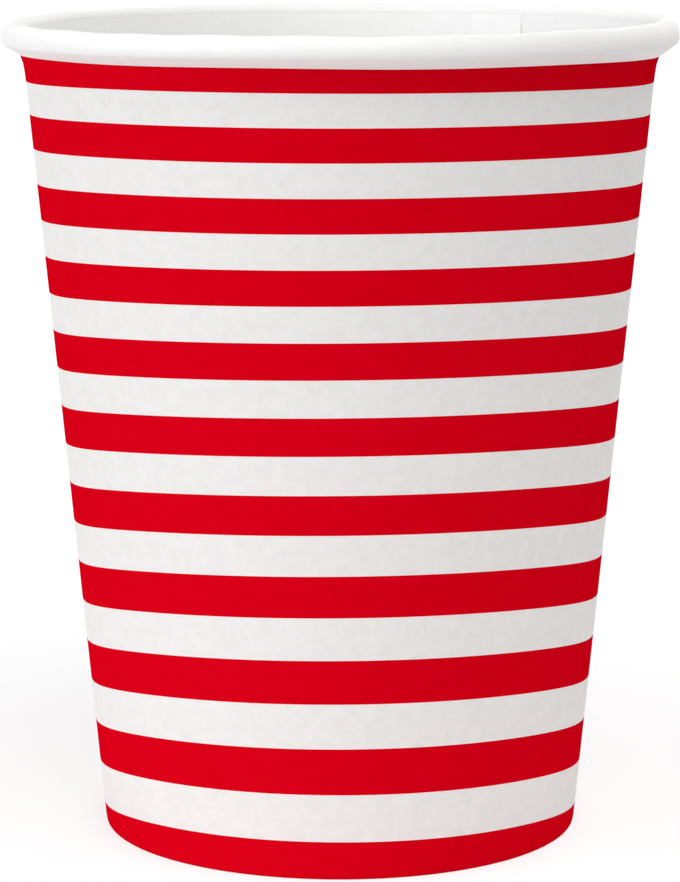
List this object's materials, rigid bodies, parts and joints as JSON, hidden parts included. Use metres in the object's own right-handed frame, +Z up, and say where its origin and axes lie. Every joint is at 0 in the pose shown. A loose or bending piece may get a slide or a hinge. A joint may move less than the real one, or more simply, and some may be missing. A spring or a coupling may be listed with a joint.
{
  "type": "paper cup",
  "caption": "Tapered disposable paper cup with red and white stripes, a rolled rim, a lapped side seam and a recessed base, for serving cold drinks or snacks.",
  "frame": {"origin": "centre of the foot, on the table", "axes": "+Z up along the cup's axis, towards the rim; the front of the picture faces -Y; the lap seam is at the back right"},
  "size_m": [0.08, 0.08, 0.097],
  "materials": {
    "printed_board": "smooth white paperboard, red stripes printed outside",
    "base_board": "smooth white paperboard"
  },
  "bodies": {
    "root": {"sidewall": "printed_board", "base": "base_board"}
  },
  "joints": []
}
